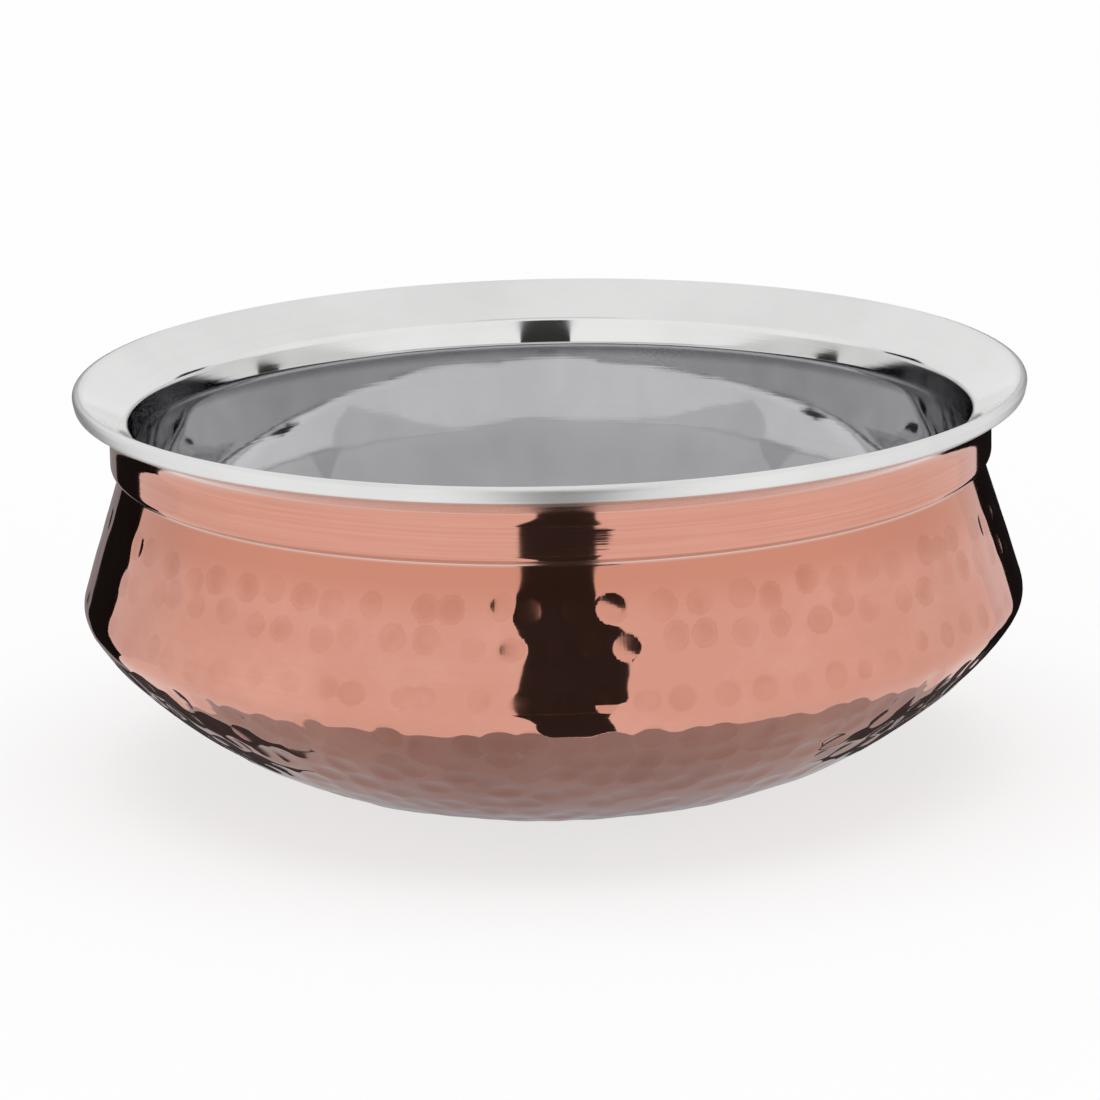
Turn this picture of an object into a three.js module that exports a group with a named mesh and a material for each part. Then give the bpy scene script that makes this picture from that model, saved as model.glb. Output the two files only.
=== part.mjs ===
// Handi dish: an upright steel bowl in a bellied copper jacket, held together by the folded edge of its lip.
// Millimetres, +Z up. The origin is the centre of the flat base that the dish stands on.

import * as THREE from "three";

// Overall form, on the copper's outer face
const RIM_DIAMETER = 160; // over the folded edge of the lip
const BASE_DIAMETER = 68; // flat disc that the dish stands on
const BELLY_INSET = 0.74; // how far the widest ring of the copper lies inside the rim
const BELLY_HEIGHT = 29.7; // base to the centre of the belly's round
const SHOULDER_RISE = 22.2; // from there to the foot of the groove
const NECK_RISE = 14.6; // foot of the groove to the top of the rim

// Bowl, belly and shoulder
const BELLY_ROUND = 5.4; // radius of the belly's corner
const BOWL_STEEPNESS = 57.2; // degrees from level where the bowl runs into the belly
const BOWL_LEAVE = 15.7; // pull of the curve where it leaves the base
const BOWL_ARRIVE = 14; // pull of the curve where it reaches the belly
const SHOULDER_LEAN = 17.3; // degrees that the shoulder leans in from upright

// Groove, neck band and flare of the copper
const GROOVE_ROUND = 0.6; // radius in the bottom of the groove
const BEAD_TURN = 75; // degrees that the underside of the neck band turns through
const BEAD_ROUND = 1.37; // radius of that underside
const NECK_BAND = 4.6; // upright part of the neck band
const FLARE_LEAVE = 2.2; // pull of the flare where it leaves the neck band
const FLARE_ARRIVE = 1.8; // pull of the flare where it reaches the hem

// Steel bowl, on the face that shows
const FLOOR_SHARE = 0.57; // diameter of the bowl's flat floor, as a share of the base's
const FLOOR_LEAVE = 30.8; // pull of the curve where it leaves the floor
const WALL_ARRIVE = 5.8; // pull of the curve where it reaches the upright wall
const TURN_SHARE = 0.78; // height where the wall starts to turn in, as a share of the belly's
const LIP_WIDTH = 9.9; // from the upright wall out to the rim
const MOUTH_DROP = 10.1; // top of the rim down to the top of the wall
const MOUTH_LEAN = 9; // degrees that the mouth, above the wall, leans out
const MOUTH_ROUND = 1.8; // radius of the bends from the wall to the mouth and from there to the lip
const LIP_SLOPE = 34; // degrees that the lip climbs

// Sheets and their seam
const COPPER_GAUGE = 0.6;
const STEEL_GAUGE = 0.7;
const NEST_CLEARANCE = 0.3; // between the two sheets, where they lie together at the base and in the hem
const HEM_BEND = 0.2; // inside radius of the two folds
const HEM_LEAN = 12; // degrees that the hem's skirt leans in below the fold
const HEM_RETURN = 1.2; // straight part of the hem under the copper's edge

// Fineness of the faceted surfaces
const TURN_FACETS = 72; // round the axis
const ARC_STEP = 17; // degrees of arc per facet
const SWEEP_STEPS = 9; // facets along a free curve

const QUARTER_TURN = 90; // degrees
const copper = new THREE.MeshStandardMaterial({ color: 0xdc9b86, roughness: 0.24, metalness: 1 });
const steel = new THREE.MeshStandardMaterial({ color: 0xdadad8, roughness: 0.12, metalness: 1 });

// A step of the given length in a direction in the section plane: x is the radius and y the height.
function along(heading, length) {
  const angle = THREE.MathUtils.degToRad(heading);
  return new THREE.Vector2(length * Math.cos(angle), length * Math.sin(angle));
}

// Where the line through a, with its heading, crosses the line through b.
function crossing(a, headingA, b, headingB) {
  const directionB = along(headingB, 1);
  const reach = b.clone().sub(a).cross(directionB) / along(headingA, 1).cross(directionB);
  return a.clone().add(along(headingA, reach));
}

// How far from a corner a bend of the given radius starts.
function bendReach(radius, turn) {
  return radius * Math.tan(THREE.MathUtils.degToRad(turn / 2));
}

// One face of a spun sheet, drawn in section as straight runs, round bends and free sweeps.
// Each piece of it leaves in the direction in which the last one arrived, so the face has no corners.
class SheetFace {
  constructor(start, heading) {
    this.end = start.clone();
    this.heading = heading;
    this.curves = [];
  }

  run(length) {
    const next = this.end.clone().add(along(this.heading, length));
    this.curves.push(new THREE.LineCurve(this.end, next));
    this.end = next;
    return this;
  }

  bend(radius, heading) {
    const side = Math.sign(heading - this.heading) * QUARTER_TURN;
    const centre = this.end.clone().add(along(this.heading + side, radius));
    const [from, to] = [this.heading - side, heading - side].map(THREE.MathUtils.degToRad);
    this.curves.push(new THREE.EllipseCurve(centre.x, centre.y, radius, radius, from, to, side < 0));
    this.end = centre.add(along(heading - side, radius));
    this.heading = heading;
    return this;
  }

  sweep(end, heading, leave, arrive) {
    const pullOut = this.end.clone().add(along(this.heading, leave));
    const pullIn = end.clone().sub(along(heading, arrive));
    this.curves.push(new THREE.CubicBezierCurve(this.end, pullOut, pullIn, end.clone()));
    this.end = end.clone();
    this.heading = heading;
    return this;
  }

  // Points of the face, moved sideways by the given distance: to the left as it was drawn, if positive.
  points(distance) {
    const row = [];
    this.curves.forEach((curve, index) => {
      const steps = facetsOf(curve);
      for (let step = index === 0 ? 0 : 1; step <= steps; step += 1) {
        const tangent = curve.getTangent(step / steps);
        const sideways = new THREE.Vector2(-tangent.y, tangent.x).multiplyScalar(distance);
        row.push(curve.getPoint(step / steps).add(sideways));
      }
    });
    return row;
  }
}

function facetsOf(curve) {
  if (curve.isLineCurve) return 1;
  if (curve.isCubicBezierCurve) return SWEEP_STEPS;
  return Math.ceil(THREE.MathUtils.radToDeg(Math.abs(curve.aEndAngle - curve.aStartAngle)) / ARC_STEP);
}

// Turns a section between two rows of points, both drawn outwards from the axis, into a sheet of its own.
function spunSheet(name, outerRow, innerRow, material) {
  const geometry = new THREE.LatheGeometry([...outerRow, ...innerRow.toReversed()], TURN_FACETS);
  geometry.rotateX(Math.PI / 2);
  const mesh = new THREE.Mesh(geometry, material);
  mesh.name = name;
  return mesh;
}

const rimRadius = RIM_DIAMETER / 2;
const rimHeight = BELLY_HEIGHT + SHOULDER_RISE + NECK_RISE;
const shoulderHeading = QUARTER_TURN + SHOULDER_LEAN;

// Base, bowl and belly of the copper
const bellyCentre = new THREE.Vector2(rimRadius - BELLY_INSET - BELLY_ROUND, BELLY_HEIGHT);
const bellyFoot = bellyCentre.clone().add(along(BOWL_STEEPNESS - QUARTER_TURN, BELLY_ROUND));
const body = new SheetFace(new THREE.Vector2(0, 0), 0)
  .run(BASE_DIAMETER / 2)
  .sweep(bellyFoot, BOWL_STEEPNESS, BOWL_LEAVE, BOWL_ARRIVE)
  .bend(BELLY_ROUND, shoulderHeading);

// Floor, wall, mouth, lip and hem of the steel
const hemRound = HEM_BEND + STEEL_GAUGE;
const foldCentre = new THREE.Vector2(rimRadius - hemRound, rimHeight - hemRound);
const lipEnd = foldCentre.clone().add(along(QUARTER_TURN + LIP_SLOPE, hemRound));
const wallFoot = new THREE.Vector2(rimRadius - LIP_WIDTH, TURN_SHARE * BELLY_HEIGHT);
const wallTop = new THREE.Vector2(wallFoot.x, rimHeight - MOUTH_DROP);
const wallReach = bendReach(MOUTH_ROUND, MOUTH_LEAN);
const mouthHeading = QUARTER_TURN - MOUTH_LEAN;
const mouthTop = crossing(wallTop, mouthHeading, lipEnd, LIP_SLOPE);
const mouthReach = bendReach(MOUTH_ROUND, mouthHeading - LIP_SLOPE);
const hemGap = COPPER_GAUGE + 2 * NEST_CLEARANCE;
const skirt = (hemGap - 2 * HEM_BEND) / Math.cos(THREE.MathUtils.degToRad(HEM_LEAN + LIP_SLOPE));
const bowl = new SheetFace(new THREE.Vector2(0, COPPER_GAUGE + NEST_CLEARANCE + STEEL_GAUGE), 0)
  .run((FLOOR_SHARE * BASE_DIAMETER) / 2)
  .sweep(wallFoot, QUARTER_TURN, FLOOR_LEAVE, WALL_ARRIVE)
  .run(wallTop.y - wallFoot.y - wallReach)
  .bend(MOUTH_ROUND, mouthHeading)
  .run(mouthTop.distanceTo(wallTop) - wallReach - mouthReach)
  .bend(MOUTH_ROUND, LIP_SLOPE)
  .run(lipEnd.distanceTo(mouthTop) - mouthReach)
  .bend(hemRound, -QUARTER_TURN - HEM_LEAN)
  .run(skirt)
  .bend(hemRound, LIP_SLOPE - 2 * QUARTER_TURN)
  .run(HEM_RETURN);

// Shoulder, groove, neck band and flare of the copper, whose edge lies in the middle of the hem
const shoulderRun = (BELLY_HEIGHT + SHOULDER_RISE - body.end.y) / along(shoulderHeading, 1).y;
const flareEnd = bowl.end
  .clone()
  .sub(along(LIP_SLOPE, NEST_CLEARANCE))
  .add(along(QUARTER_TURN + LIP_SLOPE, STEEL_GAUGE + NEST_CLEARANCE));
const neck = new SheetFace(body.end, shoulderHeading)
  .run(shoulderRun)
  .bend(GROOVE_ROUND, QUARTER_TURN - BEAD_TURN)
  .bend(BEAD_ROUND, QUARTER_TURN)
  .run(NECK_BAND)
  .sweep(flareEnd, LIP_SLOPE, FLARE_LEAVE, FLARE_ARRIVE)
  .run(HEM_RETURN + HEM_BEND);

const jacket = spunSheet(
  "copper_jacket",
  [...body.points(0), ...neck.points(0).slice(1)],
  [...body.points(COPPER_GAUGE), ...neck.points(COPPER_GAUGE).slice(1)],
  copper,
);
const liner = spunSheet("steel_liner", bowl.points(-STEEL_GAUGE), bowl.points(0), steel);

const dish = new THREE.Group();
dish.add(jacket, liner);

export default dish;
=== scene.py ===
"""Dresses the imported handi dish: a hammered copper jacket round a polished steel liner, on a pale stage.

Everything is in metres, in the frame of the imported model: +Z is up, and the origin is the centre of
the flat base.
"""

import logging
import math
import random
from dataclasses import dataclass, field, replace
from enum import Enum

import bmesh
import bpy
from mathutils import Matrix, Vector, noise
from mathutils.kdtree import KDTree


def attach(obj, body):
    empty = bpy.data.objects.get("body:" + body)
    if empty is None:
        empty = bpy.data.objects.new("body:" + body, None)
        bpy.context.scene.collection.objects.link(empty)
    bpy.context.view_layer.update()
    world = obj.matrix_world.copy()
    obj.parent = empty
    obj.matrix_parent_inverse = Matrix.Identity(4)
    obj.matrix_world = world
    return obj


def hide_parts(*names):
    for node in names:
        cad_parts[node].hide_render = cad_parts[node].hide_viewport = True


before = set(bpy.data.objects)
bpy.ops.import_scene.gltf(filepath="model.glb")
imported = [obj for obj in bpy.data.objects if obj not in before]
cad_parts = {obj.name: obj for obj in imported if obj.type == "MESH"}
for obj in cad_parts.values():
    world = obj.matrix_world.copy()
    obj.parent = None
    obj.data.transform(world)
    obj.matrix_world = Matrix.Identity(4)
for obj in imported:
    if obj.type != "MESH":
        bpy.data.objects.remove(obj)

LOG = logging.getLogger("handi_dish")
BODY = "root"
ALONG = "along_section"  # attribute of a sheet's vertices: the way along its section
MARK = "hammer_mark"  # attribute of the copper's vertices: how deep a mark is there, from 0 to 1
QUARTER_TURN = 90.0
BEND_STEP = 12.0  # degrees of a bend from one row of a mesh to the next, at most
SWEEP_CHORDS = 16  # straight pieces by which a free curve is measured
MERGE_DISTANCE = 1e-7
RING_DETAIL = 3.0  # octaves of the noise that makes spun rings
RING_ROUGHNESS = 0.6  # share that each finer octave of it keeps
COLOUR_A, COLOUR_B, COLOUR_RESULT = 6, 7, 2  # sockets of a Mix node that mixes colours
NUMBER_A, NUMBER_B = 2, 3  # sockets of a Mix node that mixes numbers

Colour = tuple[float, float, float]
Span = tuple[float, float]  # where something starts and where it ends
Outline = tuple[tuple[float, float], ...]  # corners of a flat shape, in its own plane
Socket = bpy.types.NodeSocket


def step(heading: float, length: float) -> Vector:
    """A step in the plane of a section, where x is the radius and y the height.

    Args:
        heading: Direction of the step, in degrees from outwards.
        length: Length of the step.

    Returns:
        The step as a vector.
    """
    angle = math.radians(heading)
    return Vector((length * math.cos(angle), length * math.sin(angle)))


def crossing(a: Vector, heading_a: float, b: Vector, heading_b: float) -> Vector:
    """Where two lines in the plane of a section cross.

    Args:
        a: A point of the first line.
        heading_a: Direction of the first line, in degrees.
        b: A point of the second line.
        heading_b: Direction of the second line, in degrees.

    Returns:
        The point that both lines hold.
    """
    direction_b = step(heading_b, 1.0)
    reach = (b - a).cross(direction_b) / step(heading_a, 1.0).cross(direction_b)
    return a + step(heading_a, reach)


def bend_reach(radius: float, turn: float) -> float:
    """How far from a corner a bend of that radius starts, for a turn in degrees."""
    return radius * math.tan(math.radians(turn / 2))


@dataclass(frozen=True)
class Run:
    """A straight stretch of a section."""

    start: Vector
    heading: float
    length: float

    def at(self, share: float) -> tuple[Vector, Vector]:
        """The point and the direction at a share of the stretch."""
        direction = step(self.heading, 1.0)
        return self.start + direction * (share * self.length), direction


@dataclass(frozen=True)
class Bend:
    """A round stretch of a section, to the left where turn is positive."""

    start: Vector
    heading: float
    turn: float
    radius: float

    @property
    def length(self) -> float:
        """Length of the arc."""
        return self.radius * math.radians(abs(self.turn))

    def at(self, share: float) -> tuple[Vector, Vector]:
        """The point and the direction at a share of the stretch.

        Args:
            share: Share of the stretch, from 0 to 1.

        Returns:
            The point, and the direction as a unit vector.
        """
        side = math.copysign(QUARTER_TURN, self.turn)
        centre = self.start + step(self.heading + side, self.radius)
        heading = self.heading + share * self.turn
        return centre + step(heading - side, self.radius), step(heading, 1.0)


@dataclass(frozen=True)
class Sweep:
    """A free stretch of a section: a cubic curve with its two ends and the two pulls on it."""

    start: Vector
    pull_out: Vector
    pull_in: Vector
    end: Vector

    @property
    def length(self) -> float:
        """Length of the curve, near enough for spacing points on it."""
        points = [self.at(index / SWEEP_CHORDS)[0] for index in range(SWEEP_CHORDS + 1)]
        return sum((b - a).length for a, b in zip(points, points[1:]))

    def at(self, share: float) -> tuple[Vector, Vector]:
        """The point and the direction at a share of the stretch.

        Args:
            share: Share of the stretch, from 0 to 1.

        Returns:
            The point, and the direction as a unit vector.
        """
        a = self.start.lerp(self.pull_out, share)
        b = self.pull_out.lerp(self.pull_in, share)
        c = self.pull_in.lerp(self.end, share)
        ab = a.lerp(b, share)
        bc = b.lerp(c, share)
        return ab.lerp(bc, share), (bc - ab).normalized()


@dataclass(frozen=True)
class Station:
    """A point of a section, with the way along the section at which it lies."""

    radius: float
    height: float
    along: float


class Section:
    """One face of a spun sheet, drawn as runs, bends and sweeps that meet without a corner."""

    def __init__(self, start: Vector, heading: float) -> None:
        """Starts an empty section.

        Args:
            start: Its first point.
            heading: Direction in which it leaves that point, in degrees from outwards.
        """
        self.end = start
        self.heading = heading
        self.stretches: list[Run | Bend | Sweep] = []

    def _add(self, stretch: Run | Bend | Sweep, heading: float) -> "Section":
        """Puts a stretch at the end of the section.

        Args:
            stretch: The stretch.
            heading: Direction in which it arrives at its end.

        Returns:
            The section itself.
        """
        self.stretches.append(stretch)
        self.end = stretch.at(1.0)[0]
        self.heading = heading
        return self

    def run(self, length: float) -> "Section":
        """Goes straight on."""
        return self._add(Run(self.end, self.heading, length), self.heading)

    def bend(self, radius: float, heading: float) -> "Section":
        """Goes round in an arc to a new heading."""
        return self._add(Bend(self.end, self.heading, heading - self.heading, radius), heading)

    def sweep(self, end: Vector, heading: float, leave: float, arrive: float) -> "Section":
        """Goes in a free curve to a point.

        Args:
            end: The point that the curve reaches.
            heading: Direction in which it arrives there, in degrees.
            leave: Pull of the curve at its start.
            arrive: Pull of the curve at its end.

        Returns:
            The section itself.
        """
        pull_out = self.end + step(self.heading, leave)
        pull_in = end - step(heading, arrive)
        return self._add(Sweep(self.end, pull_out, pull_in, end), heading)

    def join(self, other: "Section") -> "Section":
        """Joins this section and another into a new one.

        Args:
            other: A section that starts where this one ends.

        Returns:
            The joined section.
        """
        joined = Section(self.stretches[0].at(0.0)[0], self.heading)
        joined.stretches = self.stretches + other.stretches
        joined.end = other.end
        joined.heading = other.heading
        return joined

    def stations(self, spacing: float, sideways: float = 0.0, first: float = 0.0) -> list[Station]:
        """Points along the section, moved sideways.

        Args:
            spacing: Greatest way from one point to the next.
            sideways: How far the points are moved to the left of the way that the section is drawn.
            first: Value of the way along the section at its start.

        Returns:
            The points in order.
        """
        made: list[Station] = []
        for stretch in self.stretches:
            steps = max(1, math.ceil(stretch.length / spacing))
            if isinstance(stretch, Bend):
                steps = max(steps, math.ceil(abs(stretch.turn) / BEND_STEP))
            for index in range(1 if made else 0, steps + 1):
                point, direction = stretch.at(index / steps)
                point = point + direction.orthogonal() * sideways
                made.append(Station(point.x, point.y, first + stretch.length * index / steps))
            first += stretch.length
        return made


def hidden_face(stations: list[Station], start: float, spacing: float) -> list[Station]:
    """Turns the stations of a sheet's hidden face round, to lead from its edge back to the axis.

    Args:
        stations: The stations, in the order in which the section is drawn.
        start: Way along the section that the edge counts as.
        spacing: Way that is counted from one station to the next.

    Returns:
        The stations in their new order.
    """
    return [
        Station(station.radius, station.height, start + spacing * index)
        for index, station in enumerate(reversed(stations))
    ]


def put_in_scene(name: str, data: bpy.types.ID) -> bpy.types.Object:
    """Makes an object and links it to the scene.

    Args:
        name: Name of the object.
        data: Its mesh, lamp or camera.

    Returns:
        The object.
    """
    made = bpy.data.objects.new(name, data)
    bpy.context.scene.collection.objects.link(made)
    return made


class SheetMesh:
    """A sheet's mesh while it is being made: faces of revolution, joined ring to ring."""

    def __init__(self) -> None:
        """Starts an empty mesh whose vertices carry the way along the section."""
        self.bm = bmesh.new()
        self.along = self.bm.verts.layers.float.new(ALONG)

    def spin(self, stations: list[Station], steps: int) -> None:
        """Turns a row of stations once round the axis: a sector is spun, and then doubled until it closes.

        Args:
            stations: Points of the section, in order.
            steps: Number of facets round the axis.
        """
        before = len(self.bm.verts), len(self.bm.edges), len(self.bm.faces)
        verts = [self.bm.verts.new((s.radius, 0.0, s.height)) for s in stations]
        for vert, station in zip(verts, stations):
            vert[self.along] = station.along
        edges = [self.bm.edges.new(pair) for pair in zip(verts, verts[1:])]
        doublings = 0
        while steps % 2 == 0:
            steps //= 2
            doublings += 1
        angle = math.tau / 2**doublings
        axis = {"cent": (0.0, 0.0, 0.0), "axis": (0.0, 0.0, 1.0)}
        bmesh.ops.spin(self.bm, geom=verts + edges, angle=angle, steps=steps, **axis)
        for _ in range(doublings):
            sector = self.bm.verts[before[0]:] + self.bm.edges[before[1]:] + self.bm.faces[before[2]:]
            bmesh.ops.spin(self.bm, geom=sector, angle=angle, steps=1, use_duplicate=True, **axis)
            angle *= 2

    def merge(self) -> None:
        """Closes the seams between sectors and the poles on the axis."""
        bmesh.ops.remove_doubles(self.bm, verts=self.bm.verts, dist=MERGE_DISTANCE)

    def bridge(self, a: Station, b: Station) -> None:
        """Joins two open rings.

        Args:
            a: Station that left the first ring.
            b: Station that left the second ring.
        """
        rings = [
            edge
            for edge in self.bm.edges
            if edge.is_boundary
            and any(all(abs(v[self.along] - s.along) < MERGE_DISTANCE for v in edge.verts) for s in (a, b))
        ]
        bmesh.ops.bridge_loops(self.bm, edges=rings)

    def face_outwards(self) -> None:
        """Turns every face outwards."""
        bmesh.ops.recalc_face_normals(self.bm, faces=self.bm.faces)
        self.bm.normal_update()

    def piece(self, name: str, crease: float) -> bpy.types.Object:
        """Makes the finished object.

        Args:
            name: Name of the object.
            crease: Angle in degrees past which an edge stays sharp.

        Returns:
            The object, in the scene.
        """
        mesh = bpy.data.meshes.new(name)
        self.bm.to_mesh(mesh)
        self.bm.free()
        mesh.shade_smooth()
        mesh.set_sharp_from_angle(angle=math.radians(crease))
        return put_in_scene(name, mesh)


@dataclass(frozen=True)
class DishForm:
    """Sizes that the two sheets share, and the copper's bowl and belly, on its outer face."""

    rim_diameter: float = 0.160
    base_diameter: float = 0.068
    belly_inset: float = 0.00074
    belly_height: float = 0.0297
    shoulder_rise: float = 0.0222
    neck_rise: float = 0.0146
    belly_round: float = 0.0054
    bowl_steepness: float = 57.2
    bowl_leave: float = 0.0157
    bowl_arrive: float = 0.014
    shoulder_lean: float = 17.3
    copper_gauge: float = 0.0006
    steel_gauge: float = 0.0007
    nest_clearance: float = 0.0003

    @property
    def rim_radius(self) -> float:
        """Radius of the rim."""
        return self.rim_diameter / 2

    @property
    def rim_height(self) -> float:
        """Height of the rim."""
        return self.belly_height + self.shoulder_rise + self.neck_rise

    @property
    def shoulder_heading(self) -> float:
        """Direction in which the shoulder climbs, in degrees."""
        return QUARTER_TURN + self.shoulder_lean

    @property
    def floor_height(self) -> float:
        """Height of the steel's upper face in the middle of the bowl."""
        return self.copper_gauge + self.nest_clearance + self.steel_gauge

    def body(self) -> Section:
        """Draws the base, bowl and belly.

        Returns:
            Their section, on the copper's outer face.
        """
        centre = Vector((self.rim_radius - self.belly_inset - self.belly_round, self.belly_height))
        foot = centre + step(self.bowl_steepness - QUARTER_TURN, self.belly_round)
        return (
            Section(Vector((0.0, 0.0)), 0.0)
            .run(self.base_diameter / 2)
            .sweep(foot, self.bowl_steepness, self.bowl_leave, self.bowl_arrive)
            .bend(self.belly_round, self.shoulder_heading)
        )


class Graph:
    """The nodes of one material or world, added and joined in short calls."""

    def __init__(self, tree: bpy.types.NodeTree) -> None:
        """Starts with an empty tree."""
        self.tree = tree
        self.tree.nodes.clear()

    def add(
        self, kind: str, inputs: dict[str | int, object] | None = None, **settings: object
    ) -> bpy.types.Node:
        """Adds a node.

        Args:
            kind: Type of the node.
            inputs: Value or socket for each named or numbered input.
            **settings: Properties of the node.

        Returns:
            The node.
        """
        node = self.tree.nodes.new(kind)
        for name, value in settings.items():
            setattr(node, name, value)
        for name, value in (inputs or {}).items():
            if isinstance(value, bpy.types.NodeSocket):
                self.tree.links.new(value, node.inputs[name])
            else:
                node.inputs[name].default_value = value
        return node

    def attribute(self, name: str) -> Socket:
        """Value of a vertex attribute."""
        return self.add("ShaderNodeAttribute", attribute_name=name).outputs["Fac"]

    def math(self, operation: str, a: Socket | float, b: Socket | float = 0.0) -> Socket:
        """Result of a sum on one or two numbers."""
        return self.add("ShaderNodeMath", {0: a, 1: b}, operation=operation).outputs[0]

    def ramp(
        self, value: Socket, low: float, high: float, at_low: float = 0.0, at_high: float = 1.0
    ) -> Socket:
        """A value carried smoothly from one range to another.

        Args:
            value: Number to carry over.
            low: Number that gives at_low.
            high: Number that gives at_high.
            at_low: Result at and before low.
            at_high: Result at and past high.

        Returns:
            The result.
        """
        inputs = {"Value": value, "From Min": low, "From Max": high, "To Min": at_low, "To Max": at_high}
        return self.add("ShaderNodeMapRange", inputs, interpolation_type="SMOOTHSTEP").outputs["Result"]

    def zone(self, value: Socket, rise: Span, fall: Span) -> Socket:
        """A share that is 1 from the end of a rise to the start of a fall, and 0 beyond them."""
        return self.math("MULTIPLY", self.ramp(value, *rise), self.ramp(value, *fall, 1.0, 0.0))

    def raised(self, value: Socket, share: Socket, amount: float) -> Socket:
        """A value that is raised by an amount where a share is 1."""
        return self.math("ADD", value, self.math("MULTIPLY", share, amount))

    def mix(
        self, share: Socket | float, a: Socket | Colour, b: Socket | Colour, blend: str = "MIX"
    ) -> Socket:
        """Two colours mixed.

        Args:
            share: Share of the second colour.
            a: First colour.
            b: Second colour.
            blend: How the second one is laid over the first.

        Returns:
            The mixed colour.
        """
        a, b = (c if isinstance(c, bpy.types.NodeSocket) else (*c, 1.0) for c in (a, b))
        inputs = {0: share, COLOUR_A: a, COLOUR_B: b}
        node = self.add("ShaderNodeMix", inputs, data_type="RGBA", blend_type=blend)
        return node.outputs[COLOUR_RESULT]

    def noise(self, vector: Socket, scale: float, detail: float = 2.0, roughness: float = 0.5) -> Socket:
        """Values of a cloudy noise from 0 to 1."""
        inputs = {"Vector": vector, "Scale": scale, "Detail": detail, "Roughness": roughness}
        return self.add("ShaderNodeTexNoise", inputs).outputs[0]

    def spin_lines(self, along: Socket, fineness: float, sweep: float) -> Socket:
        """Values of the fine rings that spinning and brushing leave on a sheet.

        Args:
            along: Way along the section.
            fineness: Rings to the metre along the section.
            sweep: Changes to the metre round the sheet.

        Returns:
            Values from 0 to 1.
        """
        place = self.add("ShaderNodeTexCoord").outputs["Object"]
        split = self.add("ShaderNodeSeparateXYZ", {0: place})
        x = self.math("MULTIPLY", split.outputs["X"], sweep)
        y = self.math("MULTIPLY", split.outputs["Y"], sweep)
        z = self.math("MULTIPLY", along, fineness)
        vector = self.add("ShaderNodeCombineXYZ", {"X": x, "Y": y, "Z": z}).outputs[0]
        return self.noise(vector, 1.0, RING_DETAIL, RING_ROUGHNESS)

    def bump(self, height: Socket, distance: float, normal: Socket | None = None) -> Socket:
        """Normals of a fine relief.

        Args:
            height: Height of the relief, from 0 to 1.
            distance: Height of a 1, in metres.
            normal: Normals of the surface under it.

        Returns:
            The normals.
        """
        inputs = {"Strength": 1.0, "Distance": distance, "Height": height}
        if normal is not None:
            inputs["Normal"] = normal
        return self.add("ShaderNodeBump", inputs).outputs["Normal"]


def new_material(name: str) -> tuple[bpy.types.Material, Graph]:
    """Makes an empty material with nodes.

    Args:
        name: Name of the material.

    Returns:
        The material and its nodes.
    """
    material = bpy.data.materials.new(name)
    material.use_nodes = True
    return material, Graph(material.node_tree)


def metal(graph: Graph, colour: Socket, roughness: Socket, normal: Socket) -> None:
    """Ends a material in a bare metal.

    Args:
        graph: Nodes of the material.
        colour: Colour of the reflections.
        roughness: Roughness from 0 to 1.
        normal: Normals with the fine relief.
    """
    inputs = {"Base Color": colour, "Metallic": 1.0, "Roughness": roughness, "Normal": normal}
    shader = graph.add("ShaderNodeBsdfPrincipled", inputs)
    graph.add("ShaderNodeOutputMaterial", {"Surface": shader.outputs["BSDF"]})


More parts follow.
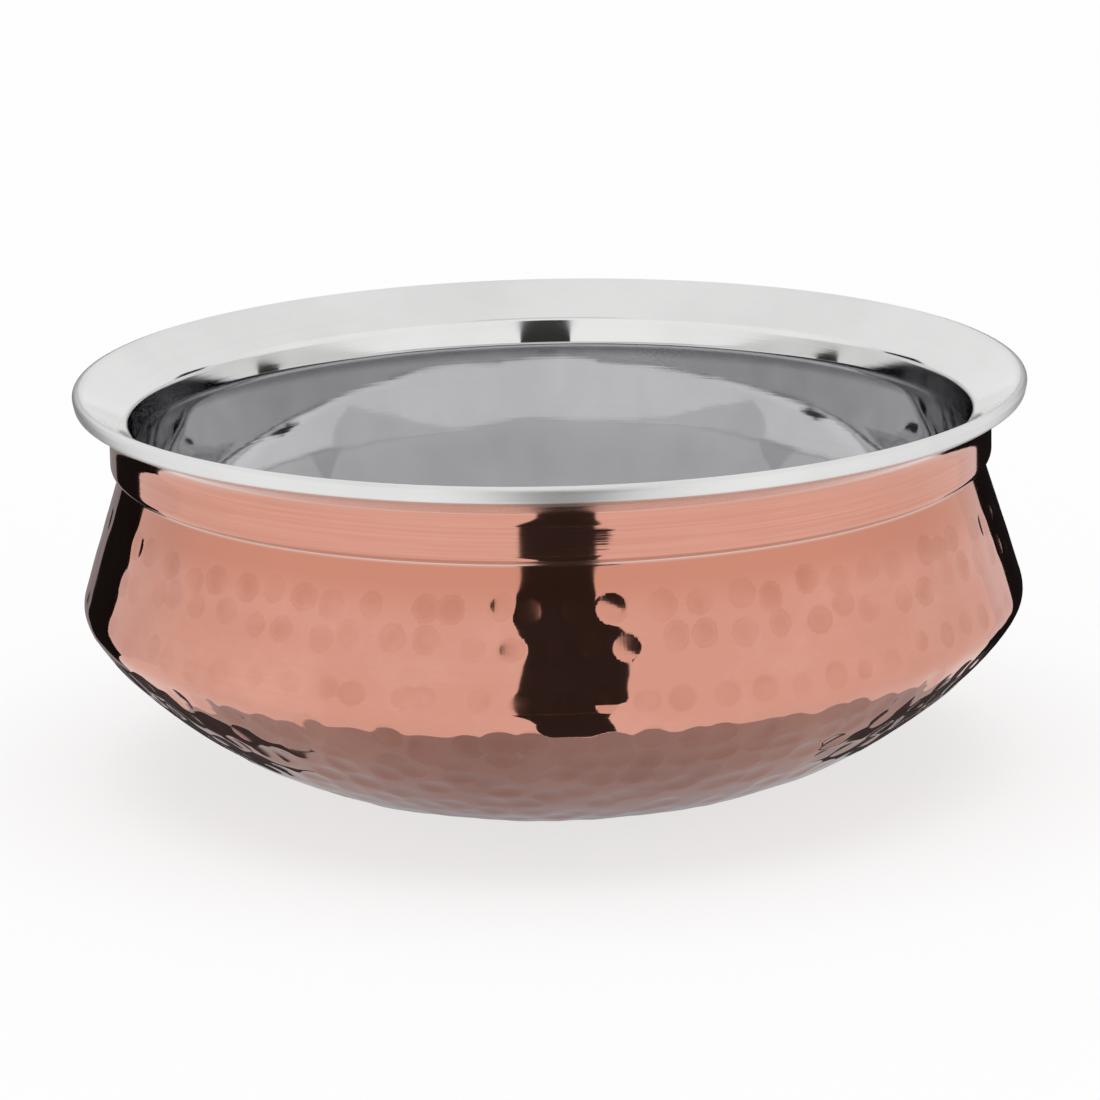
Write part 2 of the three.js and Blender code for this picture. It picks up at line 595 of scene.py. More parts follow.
@dataclass(frozen=True)
class CopperFinish:
    """Burnished copper: salmon on the body and the neck, more orange in the spun band under the groove,
    with painted shade in the hammer marks and painted light and shade under the bead and the hem.
    """

    name: str = "hammered_copper"
    body: Colour = (0.668, 0.310, 0.233)
    pale: Colour = (0.715, 0.352, 0.272)
    band: Colour = (0.610, 0.258, 0.180)
    # painted light and shade: a paler, greyer copper under the bead and the hem, standing in for the pale
    # line at the groove and the soft shade under the hem, in place of the red of copper reflecting copper
    painted_light_and_shade: Colour = (0.820, 0.770, 0.730)
    # painted shade in the hammer marks: their floors and rims are darkened, standing in for the shading of
    # the dents
    mark_painted_shade: Colour = (0.885, 0.825, 0.785)
    mark_rim_painted_shade: Colour = (0.915, 0.885, 0.865)
    patch_fineness: float = 48.0
    patch_detail: float = 5.0
    patch_roughness: float = 0.64
    pale_patches: Span = (0.40, 0.70)
    rough_patches: Span = (0.3, 0.7)
    roughness: Span = (0.03, 0.055)
    mark_roughness: float = 0.08
    neck_roughness: float = 0.02
    dull_roughness: float = 0.15
    band_width: float = 0.0065
    band_fade: float = 0.0040
    groove_width: float = 0.0006
    bead_shade: float = 0.0011
    bead_fade: float = 0.0004
    hem_shade: float = 0.0042
    hem_fade: float = 0.0014
    neck_pale: float = 0.6
    line_fineness: float = 2300.0
    line_sweep: float = 26.0
    line_height: float = 0.0000080
    body_lines: float = 0.05
    streak_lines: Span = (0.35, 0.75)
    streak_share: float = 0.42
    body_streaks: float = 0.30
    mark_edge: float = 0.00004
    mark_full: float = 0.5
    rim_rise: float = 0.08
    rim_end: float = 0.34
    tint_fineness: float = 115.0
    tint_patches: Span = (0.36, 0.64)
    faintest_tint: float = 0.30

    def material(self, groove: float, bead: float, hem: float) -> bpy.types.Material:
        """Makes the material.

        Args:
            groove: Way along the section to the bottom of the groove.
            bead: Way along the section to the start of the bead.
            hem: Way along the section to the end of the flare.

        Returns:
            The material.
        """
        made, graph = new_material(self.name)
        place = graph.add("ShaderNodeTexCoord").outputs["Object"]
        along = graph.attribute(ALONG)
        patches = graph.noise(place, self.patch_fineness, self.patch_detail, self.patch_roughness)
        lines = graph.spin_lines(along, self.line_fineness, self.line_sweep)
        sunk = graph.attribute(MARK)
        tint = graph.noise(place, self.tint_fineness)
        tint = graph.ramp(tint, *self.tint_patches, self.faintest_tint, 1.0)
        # Painted shade: marked and rim darken the floors and rims of the hammer marks, by an amount that
        # tint varies at random; marked also raises the roughness.
        marked = graph.math("MULTIPLY", graph.ramp(sunk, 0.0, self.mark_full), tint)
        rim = graph.zone(sunk, (0.0, self.rim_rise), (self.rim_rise, self.rim_end))
        rim = graph.math("MULTIPLY", rim, tint)
        neck = graph.ramp(along, groove - self.band_fade, groove)
        band_start = groove - self.band_width
        band_rise = (band_start - self.band_fade, band_start + self.band_fade)
        band = graph.zone(along, band_rise, (groove, groove + self.groove_width))
        # Painted light and shade: the zone under the bead paints a pale line at the groove, and the zone
        # under the hem paints the soft shade there; both also raise the roughness.
        shade_end = bead + self.bead_shade
        shade_rise = (bead - self.bead_shade, bead)
        under_bead = graph.zone(along, shade_rise, (shade_end - self.bead_fade, shade_end))
        hem_start = hem - self.hem_shade
        under_hem = graph.ramp(along, hem_start, hem_start + self.hem_fade)
        dull = graph.math("MAXIMUM", under_bead, under_hem)

        colour = graph.mix(graph.ramp(patches, *self.pale_patches), self.body, self.pale)
        colour = graph.mix(graph.math("MULTIPLY", neck, self.neck_pale), colour, self.pale)
        colour = graph.mix(band, colour, self.band)
        streaked = graph.math("ADD", self.body_streaks, neck)
        streaks = graph.math("MULTIPLY", graph.ramp(lines, *self.streak_lines), streaked)
        colour = graph.mix(graph.math("MULTIPLY", streaks, self.streak_share), colour, self.band)
        # painted shade in the marks and on their rims
        colour = graph.mix(marked, colour, self.mark_painted_shade, "MULTIPLY")
        colour = graph.mix(rim, colour, self.mark_rim_painted_shade, "MULTIPLY")
        # painted light and shade under the bead and the hem
        colour = graph.mix(dull, colour, self.painted_light_and_shade)

        roughness = graph.ramp(patches, *self.rough_patches, *self.roughness)
        roughness = graph.raised(roughness, marked, self.mark_roughness)
        roughness = graph.raised(roughness, neck, self.neck_roughness)
        roughness = graph.raised(roughness, dull, self.dull_roughness)

        relief = graph.math("MULTIPLY", lines, graph.math("ADD", self.body_lines, neck))
        normal = graph.bump(relief, self.line_height)
        level = graph.math("SUBTRACT", 1.0, sunk)
        metal(graph, colour, roughness, graph.bump(level, self.mark_edge, normal))
        return made


@dataclass(frozen=True)
class SteelFinish:
    """Polished stainless steel: mirror-bright in the bowl, with a satin lip, a duller hem and a band of
    painted shade in the crease under the mouth.
    """

    name: str = "polished_steel"
    bowl: Colour = (0.730, 0.730, 0.738)
    lip: Colour = (0.800, 0.800, 0.795)
    dull: Colour = (0.930, 0.930, 0.930)
    # painted shade: a darker band in the crease under the mouth, standing in for the dark line that the
    # mirror shows there
    crease: Colour = (0.560, 0.560, 0.570)
    crease_shade_width: float = 0.0026
    crease_shade_sharp: float = 0.0006
    ease: float = 0.0010
    patch_fineness: float = 40.0
    patch_detail: float = 4.0
    dull_patches: Span = (0.35, 0.75)
    rough_patches: Span = (0.3, 0.7)
    roughness: Span = (0.025, 0.045)
    lip_roughness: float = 0.08
    hem_roughness: float = 0.28
    line_fineness: float = 1900.0
    line_sweep: float = 14.0
    line_height: float = 0.0000014
    dull_lines: Span = (0.45, 0.8)
    line_share: float = 0.3

    def material(self, mouth: float, lip: float, hem: float) -> bpy.types.Material:
        """Makes the material.

        Args:
            mouth: Way along the section to the top of the upright wall.
            lip: Way along the section to the flat of the lip.
            hem: Way along the section to the fold.

        Returns:
            The material.
        """
        made, graph = new_material(self.name)
        place = graph.add("ShaderNodeTexCoord").outputs["Object"]
        along = graph.attribute(ALONG)
        patches = graph.noise(place, self.patch_fineness, self.patch_detail)
        lines = graph.spin_lines(along, self.line_fineness, self.line_sweep)
        satin = graph.ramp(along, mouth - self.ease, mouth + self.ease)
        brushed = graph.ramp(along, mouth, lip)
        worn = graph.ramp(along, hem - self.ease, hem)
        # The crease zone is a band of painted shade just under the mouth, sharpest near its top.
        sharp = mouth - self.crease_shade_sharp
        crease = graph.zone(along, (mouth - self.crease_shade_width, sharp), (sharp, mouth))

        colour = graph.mix(satin, self.bowl, self.lip)
        colour = graph.mix(graph.ramp(patches, *self.dull_patches), colour, self.dull, "MULTIPLY")
        lined = graph.ramp(lines, *self.dull_lines, 0.0, self.line_share)
        colour = graph.mix(lined, colour, self.dull, "MULTIPLY")
        # painted shade in the crease under the mouth
        colour = graph.mix(crease, colour, self.crease, "MULTIPLY")

        roughness = graph.ramp(patches, *self.rough_patches, *self.roughness)
        roughness = graph.raised(roughness, brushed, self.lip_roughness)
        roughness = graph.raised(roughness, worn, self.hem_roughness)

        metal(graph, colour, roughness, graph.bump(lines, self.line_height))
        return made


@dataclass(frozen=True)
class MarkRow:
    """A row of marks round the shell."""

    below: float  # way from the groove down to the row
    pitch: float  # way from one mark to the next
    radius: float
    slope: float  # steepness at a mark's edge, in degrees
    drift: float  # how far the marks stray up and down
    force: float  # strength of the row's deepest marks, from 0 to 1


@dataclass(frozen=True)
class HammerMark:
    """One shallow oval mark on the copper's face."""

    centre: Vector
    across: Vector
    width: float
    height: float
    depth: float
    strength: float

    def sunk(self, place: Vector) -> float:
        """Finds how deep the mark is at a place.

        Args:
            place: A place on the face.

        Returns:
            The depth as a share of a full mark's: 0 outside the mark.
        """
        offset = place - self.centre
        sideways = offset.dot(self.across)
        share = (sideways / self.width) ** 2 + (offset.length_squared - sideways**2) / self.height**2
        return self.strength * max(0.0, 1.0 - share)


@dataclass(frozen=True)
class HammerWork:
    """Rows of marks, from under the groove down to the base, and the waves that planishing leaves."""

    seed: int = 7
    shoulder_rows: tuple[MarkRow, ...] = (
        MarkRow(below=0.00670, pitch=0.0064, radius=0.0023, slope=6.4, drift=0.0005, force=1.0),
        MarkRow(below=0.01225, pitch=0.0064, radius=0.0023, slope=5.6, drift=0.0006, force=0.9),
        MarkRow(below=0.02105, pitch=0.0066, radius=0.0023, slope=4.2, drift=0.0009, force=0.32),
    )
    bowl_row: MarkRow = MarkRow(
        below=0.0305, pitch=0.0060, radius=0.0030, slope=9.5, drift=0.0014, force=0.9
    )
    bowl_row_pitch: float = 0.0054
    oval: float = 0.14
    faintest: float = 0.35
    stray: float = 0.14
    wave_depth: float = 0.00011
    wave_length: float = 0.0085
    bowl_waves: float = 1.6
    smooth_band: float = 0.0060

    def rows(self, wall: list[Station]) -> list[MarkRow]:
        """Lists the rows of marks.

        Args:
            wall: Stations of the hammered wall, from the base up to the groove.

        Returns:
            The rows, from the groove down.
        """
        made = list(self.shoulder_rows)
        row = self.bowl_row
        while wall[-1].along - row.below > wall[0].along + row.radius:
            made.append(row)
            row = replace(row, below=row.below + self.bowl_row_pitch)
        return made

    def marks(self, wall: list[Station]) -> list[HammerMark]:
        """Lays out the marks.

        Args:
            wall: Stations of the hammered wall, from the base up to the groove.

        Returns:
            The marks, row by row from the groove down.
        """
        chance = random.Random(self.seed)
        made: list[HammerMark] = []
        for row in self.rows(wall):
            middle = wall[-1].along - row.below
            ring = min(wall, key=lambda station: abs(station.along - middle))
            count = round(math.tau * ring.radius / row.pitch)
            start = chance.random()
            for index in range(count):
                turn = math.tau * (index + start + chance.gauss(0.0, self.stray)) / count
                place = middle + chance.gauss(0.0, row.drift)
                station = min(wall, key=lambda station: abs(station.along - place))
                centre = Matrix.Rotation(turn, 3, "Z") @ Vector((station.radius, 0.0, station.height))
                across = Vector((-math.sin(turn), math.cos(turn), 0.0))
                width = row.radius * chance.uniform(1.0 - self.oval, 1.0 + self.oval)
                height = row.radius * chance.uniform(1.0 - self.oval, 1.0 + self.oval)
                depth = row.radius * math.tan(math.radians(row.slope)) / 2
                strength = row.force * chance.uniform(self.faintest, 1.0)
                made.append(HammerMark(centre, across, width, height, depth, strength))
        return made

    def strike(self, sheet: SheetMesh, wall: list[Station]) -> None:
        """Sinks the marks and the waves into the copper's outer face.

        Args:
            sheet: The jacket's mesh, closed and with its normals.
            wall: Stations of the hammered wall, from the base up to the groove.
        """
        mark_layer = sheet.bm.verts.layers.float.new(MARK)
        low, high = wall[0].along, wall[-1].along
        struck = [v for v in sheet.bm.verts if low < v[sheet.along] < high]
        tree = KDTree(len(struck))
        for index, vert in enumerate(struck):
            tree.insert(vert.co, index)
        tree.balance()
        depths = [0.0] * len(struck)
        for mark in self.marks(wall):
            for place, index, _ in tree.find_range(mark.centre, max(mark.width, mark.height)):
                sunk = mark.sunk(place)
                struck[index][mark_layer] = max(struck[index][mark_layer], sunk)
                depths[index] = max(depths[index], mark.depth * sunk)
        normals = [vert.normal.copy() for vert in struck]
        for vert, normal, depth in zip(struck, normals, depths):
            to_edge = min(high - vert[sheet.along], vert[sheet.along] - low)
            fade = min(1.0, to_edge / self.smooth_band)
            size = self.bowl_waves if high - vert[sheet.along] > self.bowl_row.below else 1.0
            wave = noise.noise(vert.co / self.wave_length) * self.wave_depth * size
            vert.co -= normal * (depth + wave * fade)
        sheet.bm.normal_update()


@dataclass(frozen=True)
class SpunWaves:
    """The slight unevenness that spinning and polishing leave, which makes reflections waver."""

    depth: float = 0.00003
    length: float = 0.012
    fade: float = 0.008

    def ripple(self, sheet: SheetMesh, low: float, high: float) -> None:
        """Moves the shown face in and out.

        Args:
            sheet: The sheet's mesh, closed and with its normals.
            low: Way along the section where the waves start.
            high: Way along the section where they end.
        """
        for vert in sheet.bm.verts:
            to_edge = min(vert[sheet.along] - low, high - vert[sheet.along])
            if to_edge > 0.0:
                wave = noise.noise(vert.co / self.length) * self.depth
                vert.co += vert.normal * (wave * min(1.0, to_edge / self.fade))
        sheet.bm.normal_update()


@dataclass
class SteelLiner:
    """The polished bowl, upright inside the jacket, with a flared lip and a hem round the copper's edge."""

    form: DishForm
    node: str = "steel_liner"
    slot: str = "polished_steel"
    floor_share: float = 0.57
    floor_leave: float = 0.0308
    wall_arrive: float = 0.0058
    turn_share: float = 0.78
    lip_width: float = 0.0099
    mouth_drop: float = 0.0101
    mouth_lean: float = 9.0
    mouth_round: float = 0.0018
    lip_slope: float = 34.0
    hem_bend: float = 0.0002
    hem_lean: float = 12.0
    hem_return: float = 0.0012
    steps: int = 384
    row_spacing: float = 0.0012
    lip_spacing: float = 0.0005
    back_spacing: float = 0.0040
    crease: float = 40.0
    waves: SpunWaves = field(default_factory=SpunWaves)
    finish: SteelFinish = field(default_factory=SteelFinish)

    @property
    def wall_radius(self) -> float:
        """Radius of the upright wall."""
        return self.form.rim_radius - self.lip_width

    def bowl(self) -> Section:
        """Draws the floor, its round and the upright wall.

        Returns:
            Their section, on the face that shows.
        """
        form = self.form
        foot = Vector((self.wall_radius, self.turn_share * form.belly_height))
        top = form.rim_height - self.mouth_drop - bend_reach(self.mouth_round, self.mouth_lean)
        return (
            Section(Vector((0.0, form.floor_height)), 0.0)
            .run(self.floor_share * form.base_diameter / 2)
            .sweep(foot, QUARTER_TURN, self.floor_leave, self.wall_arrive)
            .run(top - foot.y)
        )

    def lip(self, start: Vector) -> Section:
        """Draws the mouth, the lip and its hem.

        Args:
            start: Top of the upright wall.

        Returns:
            Their section, on the face that shows.
        """
        form = self.form
        hem_round = self.hem_bend + form.steel_gauge
        fold = Vector((form.rim_radius - hem_round, form.rim_height - hem_round))
        lip_end = fold + step(QUARTER_TURN + self.lip_slope, hem_round)
        wall_top = Vector((self.wall_radius, form.rim_height - self.mouth_drop))
        mouth_heading = QUARTER_TURN - self.mouth_lean
        mouth_top = crossing(wall_top, mouth_heading, lip_end, self.lip_slope)
        wall_reach = bend_reach(self.mouth_round, self.mouth_lean)
        mouth_reach = bend_reach(self.mouth_round, mouth_heading - self.lip_slope)
        gap = form.copper_gauge + 2 * form.nest_clearance
        skirt = (gap - 2 * self.hem_bend) / math.cos(math.radians(self.hem_lean + self.lip_slope))
        return (
            Section(start, QUARTER_TURN)
            .bend(self.mouth_round, mouth_heading)
            .run((mouth_top - wall_top).length - wall_reach - mouth_reach)
            .bend(self.mouth_round, self.lip_slope)
            .run((lip_end - mouth_top).length - mouth_reach)
            .bend(hem_round, -QUARTER_TURN - self.hem_lean)
            .run(skirt)
            .bend(hem_round, self.lip_slope - 2 * QUARTER_TURN)
            .run(self.hem_return)
        )

    def build(self) -> bpy.types.Object:
        """Makes the sheet.

        Returns:
            The piece, dressed and riding on the dish.
        """
        bowl = self.bowl()
        lip = self.lip(bowl.end)
        inner = bowl.stations(self.row_spacing)
        mouth = inner[-1].along
        shown = inner + lip.stations(self.lip_spacing, first=mouth)[1:]
        gauge = self.form.steel_gauge
        back = bowl.stations(self.back_spacing, -gauge) + lip.stations(self.back_spacing, -gauge)[1:]
        sheet = SheetMesh()
        sheet.spin(shown + hidden_face(back, shown[-1].along + gauge, gauge), self.steps)
        sheet.merge()
        sheet.face_outwards()
        self.waves.ripple(sheet, 0.0, mouth)
        made = sheet.piece("polished_liner", self.crease)
        low_bend, mouth_run, high_bend, flat, *_ = lip.stretches
        lip_start = mouth + (low_bend.length + mouth_run.length + high_bend.length)
        made.data.materials.append(self.finish.material(mouth, lip_start, lip_start + flat.length))
        return settle(made, self.node)


@dataclass
class CopperJacket:
    """The hammered shell: flat base, bowl, belly, leaning shoulder, groove, neck band and flared edge."""

    form: DishForm
    liner: SteelLiner
    node: str = "copper_jacket"
    slot: str = "hammered_copper"
    groove_round: float = 0.0006
    bead_turn: float = 75.0
    bead_round: float = 0.00137
    neck_band: float = 0.0046
    flare_leave: float = 0.0022
    flare_arrive: float = 0.0018
    wall_steps: int = 800
    foot_steps: int = 400
    neck_steps: int = 200
    back_steps: int = 100
    foot_radius: float = 0.058
    row_spacing: float = 0.00062
    back_coarseness: int = 4
    crease: float = 50.0
    hammering: HammerWork = field(default_factory=HammerWork)
    finish: CopperFinish = field(default_factory=CopperFinish)

    def shoulder(self) -> Section:
        """Draws the shoulder.

        Returns:
            Its section, from the belly to the groove.
        """
        body = self.form.body()
        top = self.form.belly_height + self.form.shoulder_rise
        climb = step(self.form.shoulder_heading, 1.0).y
        return Section(body.end, self.form.shoulder_heading).run((top - body.end.y) / climb)

    def neck(self, start: Vector) -> Section:
        """Draws the groove, neck band and flare.

        Args:
            start: Top of the shoulder.

        Returns:
            Their section, up to the edge in the liner's hem.
        """
        form = self.form
        slope = self.liner.lip_slope
        hem_end = self.liner.lip(self.liner.bowl().end).end
        clear = form.steel_gauge + form.nest_clearance
        flare_end = hem_end - step(slope, form.nest_clearance) + step(QUARTER_TURN + slope, clear)
        return (
            Section(start, form.shoulder_heading)
            .bend(self.groove_round, QUARTER_TURN - self.bead_turn)
            .bend(self.bead_round, QUARTER_TURN)
            .run(self.neck_band)
            .sweep(flare_end, slope, self.flare_leave, self.flare_arrive)
            .run(self.liner.hem_return + self.liner.hem_bend)
        )

    def build(self) -> bpy.types.Object:
        """Makes the shell and hammers it.

        Returns:
            The piece, dressed and riding on the dish.
        """
        lower = self.form.body().join(self.shoulder())
        neck = self.neck(lower.end)
        outer = lower.stations(self.row_spacing)
        foot = [s for s in outer if s.radius < self.foot_radius and s.height < self.form.belly_height]
        wall = outer[len(foot):]
        bands = neck.stations(self.row_spacing, first=wall[-1].along)[1:]
        back = lower.join(neck).stations(self.row_spacing * self.back_coarseness, self.form.copper_gauge)
        back = hidden_face(back, bands[-1].along + self.form.copper_gauge, self.row_spacing)

        # The flat base keeps its centre and its last two rows, and the foot every other row.
        base = [s for s in foot if s.height == 0.0]
        climb = [base[-1], *[s for s in foot if s.height > 0.0][1::2]]
        foot = [base[0], base[-2], *climb]
        sheet = SheetMesh()
        sheet.spin(foot, self.foot_steps)
        sheet.spin(wall, self.wall_steps)
        sheet.spin(bands, self.neck_steps)
        sheet.spin(back, self.back_steps)
        sheet.merge()
        for a, b in ((foot[-1], wall[0]), (wall[-1], bands[0]), (bands[-1], back[0])):
            sheet.bridge(a, b)
        sheet.face_outwards()
        self.hammering.strike(sheet, climb + wall)

        made = sheet.piece("hammered_jacket", self.crease)
        groove_bend, bead_bend, band, flare, *_ = neck.stretches
        groove = wall[-1].along + groove_bend.length / 2
        bead = wall[-1].along + groove_bend.length
        hem = bead + (bead_bend.length + band.length + flare.length)
        made.data.materials.append(self.finish.material(groove, bead, hem))
        return settle(made, self.node)


def settle(piece: bpy.types.Object, node: str) -> bpy.types.Object:
    """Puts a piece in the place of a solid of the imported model.

    Args:
        piece: The dressed piece.
        node: Name of the solid that it stands for.

    Returns:
        The piece.
    """
    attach(piece, BODY)
    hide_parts(node)
    return piece


class Tone(Enum):
    """How a card looks in the metal."""

    BLACK = (0.010, 0.010, 0.010)
    DARK = (0.034, 0.033, 0.032)
    DEEP_SHADE = (0.050, 0.050, 0.050)
    DUSK = (0.270, 0.265, 0.275)
    SHADE = (0.375, 0.405, 0.435)
    HALF_SHADE = (0.470, 0.500, 0.520)
    HOOD = (0.740, 0.740, 0.740)
    MIST = (0.840, 0.850, 0.870)
    HAZE = (0.930, 0.930, 0.930)
    WHITE = (1.000, 1.000, 1.000)


@dataclass(frozen=True)
class Card:
    """A flat card that only the metal sees, as studio cards are kept out of a picture."""

    name: str
    corners: tuple[tuple[float, float, float], ...]
    tone: Tone
    side_tone: Tone | None = None
    side_fade: Span = (0.012, 0.055)

    def build(self) -> None:
        """Makes the card, which only reflections see."""
        bm = bmesh.new()
        bm.faces.new([bm.verts.new(corner) for corner in self.corners])
        made = stage_object(self.name, bm)
        material, graph = new_material(self.name)
        shader = graph.add("ShaderNodeEmission", {"Color": (*self.tone.value, 1.0), "Strength": 1.0})
        if self.side_tone is not None:
            place = graph.add("ShaderNodeTexCoord").outputs["Object"]
            sideways = graph.add("ShaderNodeSeparateXYZ", {0: place}).outputs["X"]
            share = graph.ramp(graph.math("ABSOLUTE", sideways), *self.side_fade)
            colour = graph.mix(share, self.tone.value, self.side_tone.value)
            graph.tree.links.new(colour, shader.inputs["Color"])
        graph.add("ShaderNodeOutputMaterial", {"Surface": shader.outputs[0]})
        made.data.materials.append(material)
        made.visible_camera = False
        made.visible_diffuse = False
        made.visible_shadow = False
        made.visible_transmission = False


def lying(name: str, outline: Outline, height: float, tone: Tone) -> Card:
    """A card that lies level at a height, with its outline in x and y."""
    return Card(name, tuple((x, y, height) for x, y in outline), tone)


def standing(name: str, outline: Outline, back: float, tone: Tone) -> Card:
    """A card that stands across the view, that far back, with its outline in x and z."""
    return Card(name, tuple((x, back, z) for x, z in outline), tone)


def upright(name: str, sides: Span, heights: Span, back: float, tone: Tone) -> Card:
    """An oblong card that stands across the view, that far back."""
    (left, right), (low, high) = sides, heights
    return standing(name, ((left, low), (right, low), (right, high), (left, high)), back, tone)


def stage_object(name: str, bm: bmesh.types.BMesh) -> bpy.types.Object:
    """Makes an object of the stage.

    Args:
        name: Name of the object.
        bm: Its mesh, which is used up.

    Returns:
        The object, in the scene.
    """
    mesh = bpy.data.meshes.new(name)
    bm.to_mesh(mesh)
    bm.free()
    made = put_in_scene(name, mesh)
    return made


@dataclass(frozen=True)
class CardSet:
    """The cards: board, hood, slot and flag in front, uprights at the back, and shade round the base."""

    board_back: float = -0.220
    board_sides: Span = (-1.200, 1.200)
    board_heights: Span = (0.0, 0.208)
    hood_outline: Outline = ((-0.141, 0.360), (0.141, 0.360), (0.11, 0.600), (-0.11, 0.600))
    slot_back: float = -0.2195
    slot_sides: Span = (-0.027, 0.035)
    slot_level: float = -0.0004
    slot_outline: Outline = (
        (-0.0045, -0.079),
        (0.0130, -0.079),
        (0.0160, -0.104),
        (0.0192, -0.124),
        (0.0340, -0.190),
        (0.0350, -0.220),
        (-0.0270, -0.220),
        (-0.0260, -0.190),
        (-0.0096, -0.124),
        (-0.0058, -0.104),
    )
    flag_back: float = -0.130
    flag_outline: Outline = (
        (0.0140, 0.0410),
        (0.0220, 0.0410),
        (0.0265, 0.0455),
        (0.0295, 0.0530),
        (0.0285, 0.0600),
        (0.0210, 0.0670),
        (0.0140, 0.0670),
    )
    rear_back: float = 0.130
    rear_heights: Span = (-0.062, 0.110)
    rear_left: Span = (-0.232, -0.075)
    rear_right: Span = (0.075, 0.175)
    low_back: float = 0.129
    low_heights: Span = (-0.062, 0.050)
    low_left: Span = (-0.135, -0.075)
    mist_heights: Span = (-0.062, 0.160)
    mist_fade: Span = (0.30, 0.80)
    mist_left: Span = (-0.850, -0.232)
    mist_right: Span = (0.175, 0.250)
    shade_level: float = -0.0006
    shade_radius: float = 0.079
    shade_segments: int = 96
    side_level: float = -0.0003
    # painted shadow: dark cards on the floor beside the base, standing in, for the metal, for the shade
    # under the dish's sides
    side_shade_outlines: tuple[Outline, ...] = (
        (
            (-0.088, 0.050), (-0.087, 0.004), (-0.067, -0.029),
            (-0.046, -0.046), (-0.058, -0.026), (-0.078, 0.010),
        ),
        (
            (-0.076, 0.050), (-0.075, 0.010), (-0.058, -0.019),
            (-0.043, -0.039), (-0.052, -0.012), (-0.067, 0.020),
        ),
        (
            (0.085, 0.050), (0.084, 0.008), (0.068, -0.022),
            (0.048, -0.040), (0.058, -0.020), (0.075, 0.012),
        ),
        (
            (0.073, 0.050), (0.072, 0.010), (0.061, -0.012),
            (0.045, -0.033), (0.053, -0.006), (0.065, 0.018),
        ),
    )

    def cards(self) -> list[Card]:
        """Lays out the cards.

        Returns:
            The cards, in the order in which they are made.
        """
        turns = [math.tau * index / self.shade_segments for index in range(self.shade_segments)]
        disc = tuple((self.shade_radius * math.cos(a), self.shade_radius * math.sin(a)) for a in turns)
        mist = upright("left_mist_card", self.mist_left, self.mist_heights, self.rear_back, Tone.MIST)
        return [
            replace(lying("shade_card", disc, self.shade_level, Tone.SHADE), side_tone=Tone.HALF_SHADE),
            lying("slot_floor_card", self.slot_outline, self.slot_level, Tone.DARK),
            upright("slot_card", self.slot_sides, self.board_heights, self.slot_back, Tone.DARK),
            standing("flag_card", self.flag_outline, self.flag_back, Tone.DARK),
            upright("board_card", self.board_sides, self.board_heights, self.board_back, Tone.WHITE),
            standing("hood_card", self.hood_outline, self.board_back, Tone.HOOD),
            upright("back_left_card", self.rear_left, self.rear_heights, self.rear_back, Tone.BLACK),
            upright("back_left_low_card", self.low_left, self.low_heights, self.low_back, Tone.DUSK),
            upright("back_right_card", self.rear_right, self.rear_heights, self.rear_back, Tone.BLACK),
            replace(mist, side_tone=Tone.HAZE, side_fade=self.mist_fade),
            upright("right_mist_card", self.mist_right, self.rear_heights, self.rear_back, Tone.MIST),
            # painted shadow beside the base, seen only in the metal
            *[
                lying(f"side_shade_card_{index}", outline, self.side_level, Tone.DEEP_SHADE)
                for index, outline in enumerate(self.side_shade_outlines)
            ],
        ]


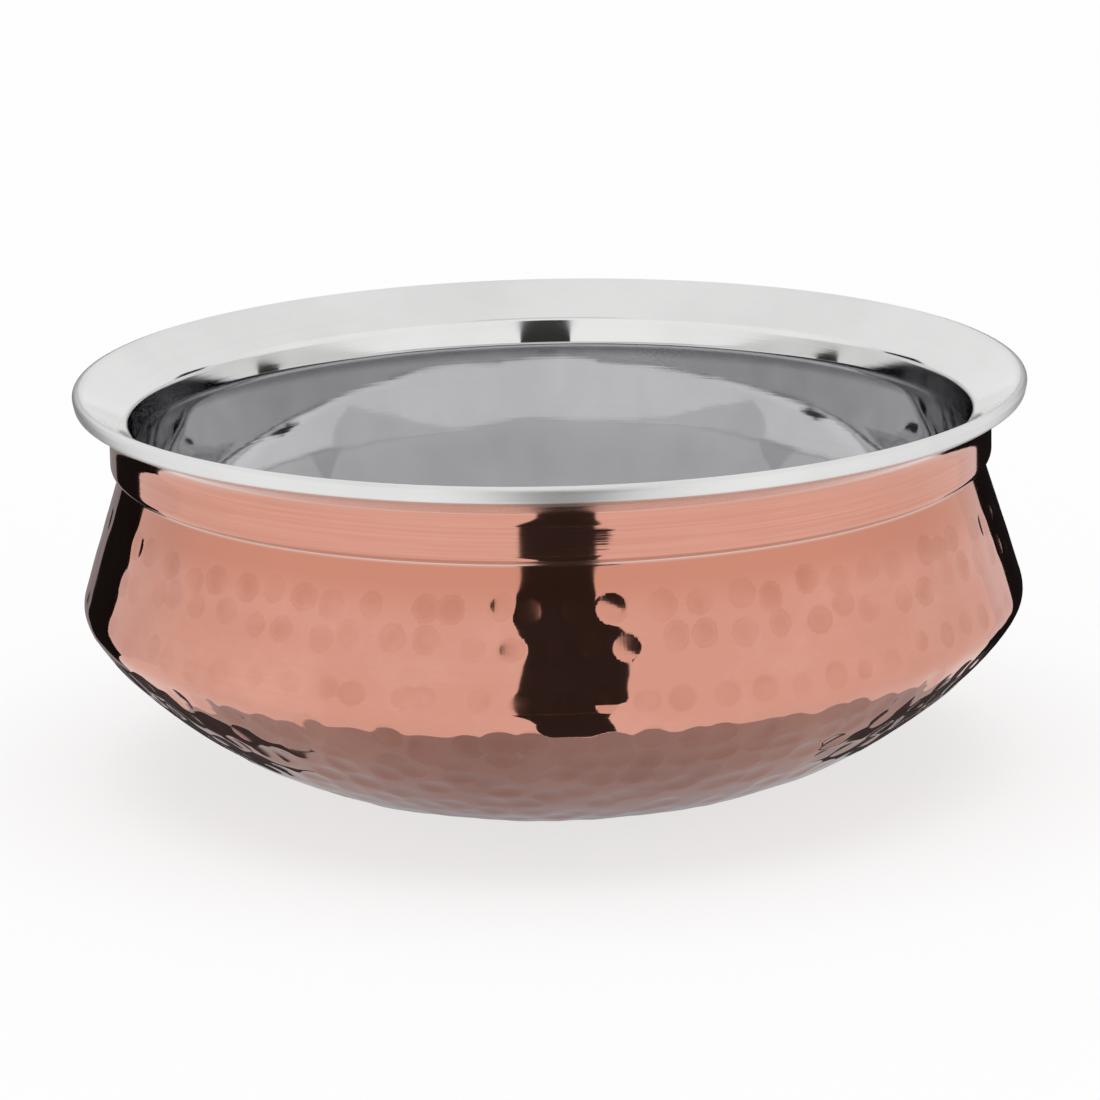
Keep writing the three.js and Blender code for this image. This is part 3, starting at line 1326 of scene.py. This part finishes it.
@dataclass
class Studio:
    """The stage: a pale floor, soft light from above and all round, cards for the metal, and the camera."""

    floor_half: float = 3.0
    floor_colour: Colour = (0.88, 0.88, 0.88)
    floor_glow: float = 0.72
    room_light: float = 0.55
    room_seen: float = 0.92
    front_seen: float = 1.0
    front_turn: Span = (-0.6, 0.6)
    front_top: Span = (0.50, 0.70)
    sun_strength: float = 1.7
    sun_angle: float = 60.0
    target_height: float = 0.03613
    camera_distance: float = 1.0
    camera_pitch: float = 14.35
    camera_roll: float = -1.15
    sensor: float = 36.0
    lens: float = 193.5
    shift_right: float = -0.00253
    bounces: int = 24
    card_set: CardSet = field(default_factory=CardSet)

    def floor(self) -> None:
        """Makes the floor, which the metal doesn't see and which is clear from below."""
        bm = bmesh.new()
        bmesh.ops.create_grid(bm, x_segments=1, y_segments=1, size=self.floor_half)
        made = stage_object("floor", bm)
        material, graph = new_material("pale_floor")
        facing = graph.add("ShaderNodeNewGeometry").outputs["Backfacing"]
        camera = graph.add("ShaderNodeLightPath").outputs["Is Camera Ray"]
        paint = graph.add("ShaderNodeBsdfDiffuse", {"Color": (*self.floor_colour, 1.0)})
        white = graph.add("ShaderNodeEmission", {"Strength": 1.0})
        glow = graph.math("MULTIPLY", camera, self.floor_glow)
        pale = graph.add("ShaderNodeMixShader", {0: glow, 1: paint.outputs[0], 2: white.outputs[0]})
        clear = graph.add("ShaderNodeBsdfTransparent")
        either = graph.add("ShaderNodeMixShader", {0: facing, 1: pale.outputs[0], 2: clear.outputs[0]})
        graph.add("ShaderNodeOutputMaterial", {"Surface": either.outputs[0]})
        made.data.materials.append(material)
        made.visible_glossy = False

    def light(self) -> None:
        """Lights the stage from all round and from above."""
        world = bpy.data.worlds.new("white_room")
        world.use_nodes = True
        graph = Graph(world.node_tree)
        path = graph.add("ShaderNodeLightPath").outputs
        direction = graph.add("ShaderNodeTexCoord").outputs["Generated"]
        way = graph.add("ShaderNodeSeparateXYZ", {0: direction}).outputs
        front = graph.ramp(way["Y"], *self.front_turn, 1.0, 0.0)
        low_front = graph.math("MULTIPLY", front, graph.ramp(way["Z"], *self.front_top, 1.0, 0.0))
        seen = graph.ramp(low_front, 0.0, 1.0, self.room_seen, self.front_seen)
        glossy = graph.math("MAXIMUM", path["Is Glossy Ray"], path["Is Transmission Ray"])
        inputs = {0: glossy, NUMBER_A: self.room_light, NUMBER_B: seen}
        strength = graph.add("ShaderNodeMix", inputs).outputs[0]
        strength = graph.math("MAXIMUM", strength, path["Is Camera Ray"])
        room = graph.add("ShaderNodeBackground", {"Color": (*Tone.WHITE.value, 1.0), "Strength": strength})
        graph.add("ShaderNodeOutputWorld", {"Surface": room.outputs[0]})
        bpy.context.scene.world = world

        sun = bpy.data.lights.new("overhead", "SUN")
        sun.energy = self.sun_strength
        sun.angle = math.radians(self.sun_angle)
        lamp = put_in_scene("overhead", sun)
        lamp.visible_glossy = False

    def camera(self) -> None:
        """Sets the camera at the photograph's angle."""
        data = bpy.data.cameras.new("camera")
        data.sensor_width = self.sensor
        data.lens = self.lens
        data.shift_x = self.shift_right
        pitch = math.radians(self.camera_pitch)
        back = Vector((0.0, -math.cos(pitch), math.sin(pitch))) * self.camera_distance
        target = Vector((0.0, 0.0, self.target_height))
        tilt = Matrix.Rotation(math.pi / 2 - pitch, 4, "X")
        roll = Matrix.Rotation(math.radians(self.camera_roll), 4, "Z")
        made = put_in_scene("camera", data)
        made.matrix_world = Matrix.Translation(back + target) @ (tilt @ roll)
        bpy.context.scene.camera = made

    def build(self) -> None:
        """Makes the whole stage."""
        self.floor()
        for card in self.card_set.cards():
            card.build()
        self.light()
        self.camera()
        bpy.context.scene.view_settings.view_transform = "Standard"
        bpy.context.scene.cycles.max_bounces = self.bounces
        bpy.context.scene.cycles.glossy_bounces = self.bounces


def main() -> None:
    """Builds the pieces and the stage, in order."""
    logging.basicConfig(level=logging.INFO, format="%(name)s: %(message)s")
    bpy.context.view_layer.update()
    form = DishForm()
    liner = SteelLiner(form)
    jacket = CopperJacket(form, liner)
    for part in (liner, jacket):
        piece = part.build()
        LOG.info("%s stands for %s: %d faces", piece.name, part.node, len(piece.data.polygons))
    Studio().build()
    LOG.info("stage, light and camera are set")
    bpy.context.view_layer.update()


if __name__ == "__main__":
    main()
